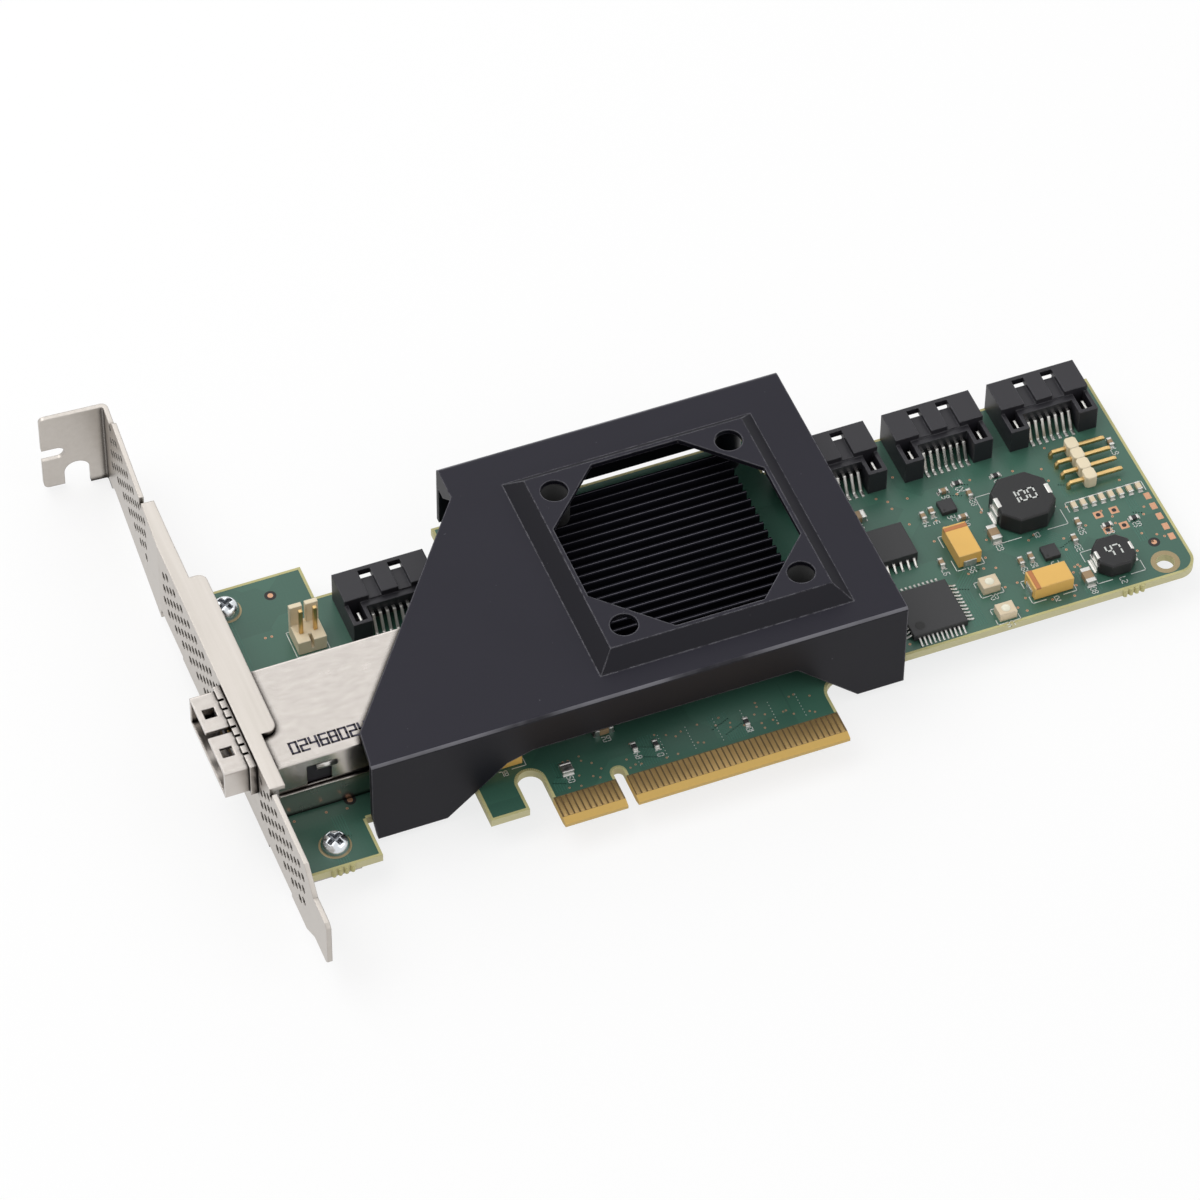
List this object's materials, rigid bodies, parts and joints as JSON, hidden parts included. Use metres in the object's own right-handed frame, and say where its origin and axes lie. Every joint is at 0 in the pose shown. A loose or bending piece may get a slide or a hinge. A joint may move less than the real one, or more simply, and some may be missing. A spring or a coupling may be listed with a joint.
{
  "type": "raid controller card",
  "caption": "Low expansion card on a full-height vented bracket, with an external cable port, a row of drive ports and a ducted cover over its heat sink.",
  "frame": {"origin": "middle of the key notch in the edge connector, on the tips of the fingers, in the component face of the board", "axes": "+X along the card from the bracket to its far end, +Y up the card from the edge connector to the drive ports, +Z out of the component face"},
  "size_m": [0.1782, 0.1206, 0.0233],
  "materials": {
    "board": "solder mask over glass laminate",
    "gold": "gold plated",
    "bracket_metal": "satin nickel plate",
    "screw_metal": "bright",
    "cage_metal": "satin tin plate",
    "port_plastic": "moulded, fine grain",
    "tin": "tinned",
    "cover_plastic": "moulded, satin",
    "chip_plastic": "moulded epoxy",
    "pad": "soft",
    "sink_metal": "black anodised",
    "header_plastic": "moulded nylon",
    "inductor": "pressed iron powder",
    "tantalum": "moulded",
    "lamp": "clear resin over ceramic",
    "ceramic": "fired ceramic"
  },
  "bodies": {
    "root": {"circuit_board": "board", "edge_contacts": "gold", "mounting_bracket": "bracket_metal", "bracket_screws": "screw_metal", "external_port_cage": "cage_metal", "external_port_gasket": "cage_metal", "external_port_base": "cage_metal", "external_port_insert": "port_plastic", "external_port_contacts": "gold", "drive_port_1": "port_plastic", "drive_port_pins_1": "tin", "drive_port_clips_1": "tin", "drive_port_2": "port_plastic", "drive_port_pins_2": "tin", "drive_port_clips_2": "tin", "drive_port_3": "port_plastic", "drive_port_pins_3": "tin", "drive_port_clips_3": "tin", "drive_port_4": "port_plastic", "drive_port_pins_4": "tin", "drive_port_clips_4": "tin", "cooling_cover": "cover_plastic", "cover_screws": "screw_metal", "controller_chip": "chip_plastic", "thermal_pad": "pad", "heat_sink": "sink_metal", "heat_sink_screws": "screw_metal", "fan_header": "header_plastic", "fan_header_pins": "gold", "light_header": "header_plastic", "light_header_pins": "gold", "power_inductor": "inductor", "power_inductor_tabs": "tin", "small_inductor": "inductor", "small_inductor_tabs": "tin", "tantalum_capacitors": "tantalum", "tantalum_terminals": "tin", "flash_chip": "chip_plastic", "flash_chip_leads": "tin", "logic_chip": "chip_plastic", "logic_chip_leads": "tin", "regulator_chips": "chip_plastic", "memory_chips": "chip_plastic", "status_lamps": "lamp", "beacon_lamps": "lamp", "chip_capacitors": "ceramic", "ceramic_capacitors": "ceramic", "chip_resistors": "chip_plastic", "underside_capacitors": "ceramic", "board_fuse": "tin"}
  },
  "joints": []
}
